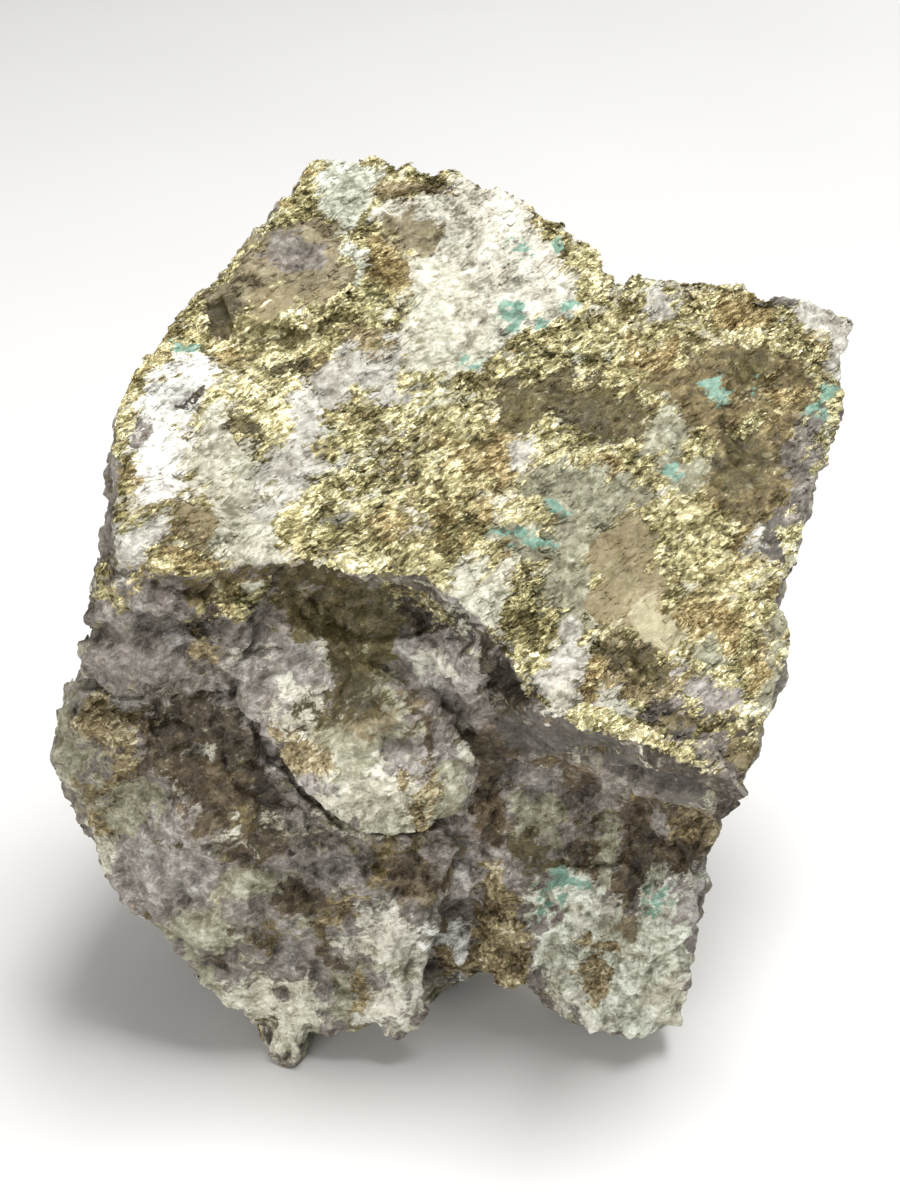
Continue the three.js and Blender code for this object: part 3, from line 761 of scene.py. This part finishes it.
def broken_heights(places, shares):
    """How far the broken surface stands out at each place."""
    looks = np.array([(look.blocks, look.grain, look.sugar) for look in ROCKS.values()])
    blocks, grain, sugar = (shares @ looks).T
    wavy = drifted(places, places, Noise(0.8, 5.0, 201))
    height = swells(places, Noise(0.45, 11.0, 211))
    height += raised(blocks, Noise(0.55, 5.0, 221), facets, wavy)
    height += raised(blocks, Noise(0.34, 2.4, 225), facets, wavy)
    drifting = drifted(places, places, Noise(0.9, 3.0, 205))
    height += raised(blocks, Noise(1.3, 18.0, 231), plates, drifting, steps=1.5)
    height += raised(blocks, Noise(0.6, 7.0, 235), plates, wavy, steps=1.0)
    height += raised(grain, Noise(0.50, 1.1, 241), facets, along_streak(wavy))
    height += raised(sugar, Noise(1.0, 1.1, 261), facets, places)
    return height


def new_object(name, data):
    """An object in the scene for a mesh, a light or a camera."""
    thing = bpy.data.objects.new(name, data)
    bpy.context.scene.collection.objects.link(thing)
    return thing


def fine_copy(node):
    """A closed copy of a CAD node's mesh in even small squares."""
    mesh = node.data.copy()
    welded = bmesh.new()
    welded.from_mesh(mesh)
    bmesh.ops.remove_doubles(welded, verts=welded.verts, dist=0.001 * MM)
    welded.to_mesh(mesh)
    welded.free()
    copy = new_object("fine_copy", mesh)
    remesh = copy.modifiers.new("even", "REMESH")
    remesh.mode = "VOXEL"
    remesh.voxel_size = VOXEL * MM
    graph = bpy.context.evaluated_depsgraph_get()
    fine = bpy.data.meshes.new_from_object(copy.evaluated_get(graph))
    bpy.data.objects.remove(copy)
    return fine


def array_of(collection, field, width, kind=float):
    """A field of a mesh's parts as an array with `width` columns."""
    values = np.empty(len(collection) * width, kind)
    collection.foreach_get(field, values)
    return values.reshape(-1, width)


def evened(directions, edges):
    """The directions at a mesh's corners, evened out with their neighbours'."""
    starts, ends = edges.T
    for _ in range(NORMAL_ROUNDS):
        total = directions.copy()
        for column in range(directions.shape[1]):
            total[:, column] += np.bincount(starts, directions[ends, column], len(directions))
            total[:, column] += np.bincount(ends, directions[starts, column], len(directions))
        directions = total / np.linalg.norm(total, axis=1, keepdims=True)
    return directions


def add_attributes(mesh, places, shares, heights):
    """Gives each corner of a mesh what its material reads: how much of each mineral covers those before it in
    ROCKS, how much lighter or darker the corner is painted (painted shade where it lies low, light where it
    stands out, with random swells), how warm its tint is (0 to 1) and how strong its finest relief."""
    shown = shares / np.maximum(np.cumsum(shares, axis=1), 1e-6)
    others = {
        # painted shade from the heights, plus random swells of lightness
        "shade": np.interp(heights, SHADED_HEIGHTS, HEIGHT_SHADES) + swells(places, Noise(0.11, 7.0, 291)),
        "warmth": np.clip(0.5 + swells(places, Noise(0.24, 4.0, 295)), 0, 1),
        "bite": shares @ np.array([look.bite for look in ROCKS.values()]),
    }
    for name, values in (*zip(ROCKS, shown.T), *others.items()):
        mesh.attributes.new(name, "FLOAT", "POINT").data.foreach_set("value", values.copy())


Stone = namedtuple("Stone", "mesh places normals triangles shares heights")


def stone_surface(node):
    """The stone's fine mesh, its smooth normals and its minerals."""
    mesh = fine_copy(node)
    places = array_of(mesh.vertices, "co", 3) / MM
    normals = evened(array_of(mesh.vertices, "normal", 3), array_of(mesh.edges, "vertices", 2, np.int32))
    mesh.calc_loop_triangles()
    triangles = array_of(mesh.loop_triangles, "vertices", 3, np.int32)
    tree = BVHTree.FromPolygons(places.tolist(), triangles.tolist())
    shares = mineral_shares(places, normals, tree)
    heights = broken_heights(places, shares)
    heights += ledge_heights(drifted(places, places, Noise(0.6, 3.0, 281)), tree)
    heights -= heights.mean()
    held = np.clip(places[:, 2] / FLOOR_HOLD, 0, 1)
    moved = places + normals * (heights * held)[:, None]
    moved[:, 2] = np.maximum(moved[:, 2], 0)
    mesh.vertices.foreach_set("co", (moved * MM).ravel())
    add_attributes(mesh, places, shares, heights)
    mesh.update()
    return Stone(mesh, moved, normals, triangles, shares, heights)


def cut_part(mesh, name, low, high):
    """The closed part of the stone between two upright planes across X."""
    part = bmesh.new()
    part.from_mesh(mesh)
    for x, outward in ((low, -1), (high, 1)):
        if x is None:
            continue
        everything = part.verts[:] + part.edges[:] + part.faces[:]
        plane = {"plane_co": (x * MM, 0, 0), "plane_no": (outward, 0, 0)}
        cut = bmesh.ops.bisect_plane(part, geom=everything, **plane, clear_outer=True, dist=1e-7)
        rim = [item for item in cut["geom_cut"] if isinstance(item, bmesh.types.BMEdge)]
        for edge in rim:
            edge.smooth = False
        bmesh.ops.triangle_fill(part, edges=rim, use_beauty=False, normal=(outward, 0, 0))
    for face in part.faces:
        face.smooth = True
    result = bpy.data.meshes.new(name)
    part.to_mesh(result)
    part.free()
    return result


def add_piece(mesh, material):
    """A piece of the stone that rides on its body and stands for the CAD node."""
    piece = new_object(mesh.name, mesh)
    mesh.materials.clear()
    mesh.materials.append(material)
    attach(piece, "root")
    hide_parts(NODE)


# ---- Golden grains ----

def grain_mesh(name, places, normals, sizes, shares, heights, random):
    """Closed wedges like small shingles, each sunk into the surface at its place."""
    count = len(places)
    along = np.array(STREAK) + random.normal(0, GRAIN_SWAY, (count, 3))
    upright = normals + random.normal(0, GRAIN_TIP, (count, 3))
    upright /= np.linalg.norm(upright, axis=1, keepdims=True)
    along -= (along * upright).sum(1, keepdims=True) * upright
    along /= np.linalg.norm(along, axis=1, keepdims=True)
    across = np.cross(along, upright)
    half = np.stack((sizes, sizes * random.uniform(*GRAIN_WIDTH, count)), axis=1) / 2
    plan = np.concatenate((SQUARE, RIDGE)) + random.uniform(-GRAIN_SKEW, GRAIN_SKEW, (count, 6, 2))
    plan *= half[:, None]
    lift = np.full((count, 6), -GRAIN_SUNK)
    lift[:, 4:] = half[:, 1:] * random.uniform(*GRAIN_RISE, (count, 2))
    points = (places[:, None] + plan[..., :1] * along[:, None] + plan[..., 1:] * across[:, None]
              + lift[..., None] * upright[:, None]).reshape(-1, 3)
    mesh = bpy.data.meshes.new(name)
    sides = [tuple(6 * grain + corner for corner in side) for grain in range(count) for side in GRAIN_SIDES]
    mesh.from_pydata((points * MM).tolist(), [], sides)
    # painted shade at the grain's foot, painted light along its top edge
    heights = np.repeat(heights, 6) + np.tile(GRAIN_SHADING, count)
    add_attributes(mesh, points, np.repeat(shares, 6, axis=0), heights)
    return mesh


def golden_grains(name, count, stone, wanted, seed):
    """Grains strewn over the gold of one side of the stone; `wanted` weighs the surface's corners."""
    random = np.random.default_rng(seed)
    a, b, c = (stone.places[stone.triangles[:, corner]] for corner in range(3))
    area = np.linalg.norm(np.cross(b - a, c - a), axis=1)
    metal = sum(stone.shares[:, list(ROCKS).index(rock)] * ROCKS[rock].metal for rock in GRAIN_MINERALS)
    chance = area * (metal * wanted)[stone.triangles].mean(1)
    chosen = random.choice(len(chance), count, p=chance / chance.sum())
    spread = random.dirichlet((1, 1, 1), count)

    def at_grains(values):
        return sum(spread[:, corner, None] * values[stone.triangles[chosen, corner]] for corner in range(3))

    places, normals, shares = at_grains(stone.places), at_grains(stone.normals), at_grains(stone.shares)
    heights = at_grains(stone.heights[:, None])[:, 0]
    sizes = np.clip(random.lognormal(math.log(GRAIN_LENGTH), GRAIN_SPREAD, count), *GRAIN_LENGTHS)
    keep = places[:, 2] > GRAIN_GROUND
    return grain_mesh(name, places[keep], normals[keep], sizes[keep], shares[keep], heights[keep], random)


# ---- Materials ----

def linear(rgb):
    """A colour of 0 to 255 as the shader's own linear numbers."""
    steps = [value / 255 for value in rgb]
    return (*(step / 12.92 if step <= 0.04045 else ((step + 0.055) / 1.055) ** 2.4 for step in steps), 1)


class Shading:
    """A material's node tree, built by short calls that each give back an output socket."""

    def __init__(self, name):
        self.material = bpy.data.materials.new(name)
        self.material.use_nodes = True
        self.tree = self.material.node_tree
        self.place = self.node("ShaderNodeTexCoord").outputs["Object"]

    def node(self, kind, inputs=(), **settings):
        """A new node with its inputs fed, by number or by name."""
        node = self.tree.nodes.new(kind)
        for field, value in settings.items():
            setattr(node, field, value)
        for key, value in dict(inputs).items():
            self.feed(node.inputs[key], value)
        return node

    def feed(self, socket, value):
        """Gives a socket a plain value or another node's output."""
        if isinstance(value, bpy.types.NodeSocket):
            self.tree.links.new(value, socket)
        else:
            socket.default_value = value

    def surface(self, **inputs):
        """Feeds the material's shader and gives back the material."""
        for name, value in inputs.items():
            self.feed(self.tree.nodes["Principled BSDF"].inputs[name.replace("_", " ")], value)
        return self.material

    def attribute(self, name):
        return self.node("ShaderNodeAttribute", attribute_name=name).outputs["Fac"]

    def math(self, operation, a, b, clamp=False):
        return self.node("ShaderNodeMath", {0: a, 1: b}, operation=operation, use_clamp=clamp).outputs[0]

    def add(self, a, b, clamp=False):
        return self.math("ADD", a, b, clamp)

    def times(self, a, b, clamp=False):
        return self.math("MULTIPLY", a, b, clamp)

    def vector_math(self, operation, *inputs, output="Vector"):
        return self.node("ShaderNodeVectorMath", enumerate(inputs), operation=operation).outputs[output]

    def noise(self, size, detail, roughness=0.6, place=None, output="Fac"):
        """Soft noise whose swells are about `size` mm across."""
        inputs = {"Vector": place or self.place, "Scale": 1 / (size * MM), "Detail": detail}
        return self.node("ShaderNodeTexNoise", {**inputs, "Roughness": roughness}).outputs[output]

    def cells(self, size, place):
        """Scattered middles about `size` mm apart: their distance, random colours and positions."""
        return self.node("ShaderNodeTexVoronoi", {"Vector": place, "Scale": 1 / (size * MM)}).outputs

    def drifted(self, size, reach):
        """Places pushed about by slow noise, so that what is drawn on them isn't straight."""
        push = self.noise(size, 2, 0.5, output="Color")
        push = self.vector_math("SUBTRACT", push, (0.5, 0.5, 0.5))
        return self.vector_math("MULTIPLY_ADD", push, (reach * MM,) * 3, self.place)

    def plates(self, size, place):
        """Broken plates of about `size` mm, each tilted on its own: their height in mm, the way each one leans
        and a random number of its own."""
        cells = self.cells(size, place)
        offset = self.vector_math("SUBTRACT", place, cells["Position"])
        lean = self.vector_math("SUBTRACT", cells["Color"], (0.5, 0.5, 0.5))
        slope = self.vector_math("DOT_PRODUCT", offset, lean, output="Value")
        own = self.node("ShaderNodeSeparateColor", {0: cells["Color"]}).outputs[0]
        return self.add(self.times(slope, 1 / MM), self.times(own, 0.25 * size)), lean, own

    def streaked(self, place, stretch=STREAK_STRETCH):
        """Places drawn together along the golden grain, so that textures run with it."""
        inputs = {"Vector": place, "Angle": -math.atan2(STREAK[1], STREAK[0])}
        turned = self.node("ShaderNodeVectorRotate", inputs, rotation_type="Z_AXIS").outputs[0]
        return self.vector_math("MULTIPLY", turned, (1 / stretch, 1, 1))

    def remap(self, value, low, high, to_low=0.0, to_high=1.0, smooth=False):
        """Stretches one range of values to another, and holds them inside it."""
        inputs = {"Value": value, "From Min": low, "From Max": high, "To Min": to_low, "To Max": to_high}
        kind = "SMOOTHSTEP" if smooth else "LINEAR"
        return self.node("ShaderNodeMapRange", inputs, interpolation_type=kind).outputs[0]

    def mix(self, share, a, b):
        """Blends two colours."""
        return self.node("ShaderNodeMix", {0: share, 6: a, 7: b}, data_type="RGBA").outputs[2]

    def blend(self, share, a, b):
        """Blends two numbers."""
        return self.node("ShaderNodeMix", {0: share, 2: a, 3: b}, data_type="FLOAT").outputs[0]

    def ramp(self, value, colours):
        """Even stops from the first colour to the last."""
        node = self.node("ShaderNodeValToRGB", {"Fac": value})
        stops = node.color_ramp.elements
        while len(stops) < len(colours):
            stops.new(0.5)
        for index, colour in enumerate(colours):
            stops[index].position = index / (len(colours) - 1)
            stops[index].color = linear(colour)
        return node.outputs["Color"]

    def bump(self, height, distance):
        inputs = {"Height": height, "Distance": distance * MM}
        return self.node("ShaderNodeBump", inputs).outputs["Normal"]

    def tilted(self, normal, lean, share):
        """A normal leaned over, for small flats that glint on their own."""
        lean = self.node("ShaderNodeVectorMath", {0: lean, "Scale": share}, operation="SCALE").outputs[0]
        return self.vector_math("NORMALIZE", self.vector_math("ADD", lean, normal))


def toned(s, pattern, sparkle, strength):
    """How light each spot is within its mineral: by a pattern, by its height (painted shade in low places) and
    by a sparkle.
    """
    tone = s.add(s.remap(pattern, 0.32, 0.70), s.attribute("shade"))
    return s.add(tone, s.remap(sparkle, 0.0, 1.0, -strength, strength), clamp=True)


def mixed_minerals(s, stone_tone, golden_tone, border):
    """The colour and the metal of the minerals, each laid over those before it in ROCKS."""
    colour = metal = None
    for rock, look in ROCKS.items():
        own = s.ramp(golden_tone if look.metal > GOLDEN_METAL else stone_tone, look.colours)
        if colour is None:
            colour, metal = own, look.metal
            continue
        shown = s.remap(s.add(s.attribute(rock), border), 0.35, 0.65, smooth=True)
        colour = s.mix(shown, colour, own)
        metal = s.blend(shown, metal, look.metal)
    return colour, metal


def pits_of(s, drift, fine):
    """Small dark pits, drawn out along the streak, that come in swarms."""
    depth = s.add(s.cells(1.0, s.streaked(drift, 2.8))["Distance"], s.remap(fine, 0.3, 0.7, -0.25, 0.25))
    swarms = s.remap(s.noise(5.0, 3, 0.7), 0.46, 0.62, smooth=True)
    return s.times(s.remap(depth, 0.34, 0.12, smooth=True), swarms)


def ore_material():
    """The one material of the stone and its grains."""
    s = Shading("ore")

    # Patterns, with sizes in mm
    drift = s.drifted(5.0, 1.6)
    streaks = s.streaked(drift)
    fine = s.noise(0.6, 3, 0.7)
    chunks, _, chunk_tone = s.plates(1.2, drift)
    shingles, lean, shingle_tone = s.plates(0.52, streaks)
    strokes = s.noise(0.5, 3, place=s.streaked(drift, 3.0))
    clusters = s.noise(3.0, 3, place=streaks)
    mottle = s.blend(0.35, s.noise(1.6, 4, 0.7, s.streaked(drift, 1.5)), strokes)
    stone_tone = toned(s, mottle, s.blend(0.5, chunk_tone, shingle_tone), 0.14)
    # The golden tone paints pale strokes along the grain and dark lines between them: partly painted glints
    # and painted shade.
    golden_tone = toned(s, s.blend(0.45, strokes, clusters), shingle_tone, 0.24)
    border = s.remap(s.noise(1.3, 4, 0.75, streaks), 0.34, 0.66, -0.45, 0.45)

    # The minerals, tinted, with dirt in the pits of what isn't golden
    colour, metal = mixed_minerals(s, stone_tone, golden_tone, border)
    tinted = s.vector_math("MULTIPLY", colour, s.ramp(s.attribute("warmth"), TINTS))
    colour = s.mix(TINT_STRENGTH, colour, tinted)
    golden = s.times(metal, GOLDEN_GAIN, clamp=True)
    bite = s.attribute("bite")
    dirt = s.times(s.math("SUBTRACT", 1.0, golden), s.times(bite, 0.6))
    colour = s.mix(s.times(pits_of(s, drift, fine), dirt), colour, linear(DIRT_COLOUR))

    # The finest relief, whose golden shingles lean on their own, so that they glint
    broken = s.add(s.add(s.times(chunks, 1.3), shingles), s.times(fine, 0.5))
    normal = s.tilted(s.bump(s.times(broken, bite), 0.6), lean, s.times(golden, 0.4))
    roughness = s.remap(metal, 0.0, ROCKS["gold"].metal, *ROUGHNESS)
    return s.surface(Base_Color=colour, Metallic=metal, Roughness=roughness, Normal=normal)


def floor_material():
    """A plain pale floor with the faintest mottle."""
    s = Shading("studio_floor")
    colours = (linear(colour) for colour in FLOOR_COLOURS)
    return s.surface(Base_Color=s.mix(s.noise(FLOOR_MOTTLE, 2), *colours), Roughness=FLOOR_ROUGHNESS)


# ---- Studio ----

def add_floor():
    """A wide floor under the stone."""
    mesh = bpy.data.meshes.new("studio_floor")
    corners = [(x * FLOOR_HALF, y * FLOOR_HALF, -FLOOR_BELOW * MM) for x, y in SQUARE]
    mesh.from_pydata(corners, [], [(0, 1, 2, 3)])
    mesh.materials.append(floor_material())
    floor = new_object("studio_floor", mesh)


def add_soft_light(name, place, size, power):
    """A square soft light that faces the stone's middle."""
    light = bpy.data.lights.new(name, "AREA")
    light.shape = "SQUARE"
    light.size = size
    light.energy = power
    lamp = new_object(name, light)
    lamp.location = place
    lamp.rotation_euler = (Vector(LIGHTS_AIM) - Vector(place)).to_track_quat("-Z", "Y").to_euler()


def add_world():
    """An even white light from all around."""
    world = bpy.data.worlds.new("studio")
    world.use_nodes = True
    background = world.node_tree.nodes["Background"]
    background.inputs["Color"].default_value = (1, 1, 1, 1)
    background.inputs["Strength"].default_value = WORLD_STRENGTH
    bpy.context.scene.world = world


def add_camera():
    """The photograph's camera."""
    camera = bpy.data.cameras.new("camera")
    camera.lens = LENS
    camera.sensor_width = SENSOR
    camera.clip_start = CLIP_START
    holder = new_object("camera", camera)
    forward, right, up = photo_axes()
    turn = Matrix((right, up, -forward)).transposed().to_4x4()
    holder.matrix_world = Matrix.Translation(CAMERA_PLACE * MM) @ turn
    bpy.context.scene.camera = holder


# ---- The object ----

def main():
    ore = ore_material()
    stone = stone_surface(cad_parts[NODE])
    cuts = (None, *PIECE_CUTS, None)
    for name, low, high in zip(("ore_left", "ore_middle", "ore_right"), cuts, cuts[1:]):
        add_piece(cut_part(stone.mesh, name, low, high), ore)
    on_face = np.clip((stone.normals @ golden_normal() - GRAIN_COSINE) * GRAIN_COSINE_SLOPE, 0, 1)
    add_piece(golden_grains("grains_of_golden_face", GOLDEN_FACE_GRAINS, stone, on_face, seed=5), ore)
    add_piece(golden_grains("grains_of_other_sides", OTHER_GRAINS, stone, 1 - on_face, seed=6), ore)

    add_floor()
    for name, (place, size, power) in LIGHTS.items():
        add_soft_light(name, place, size, power)
    add_world()
    add_camera()
    bpy.context.scene.view_settings.view_transform = "Standard"


main()
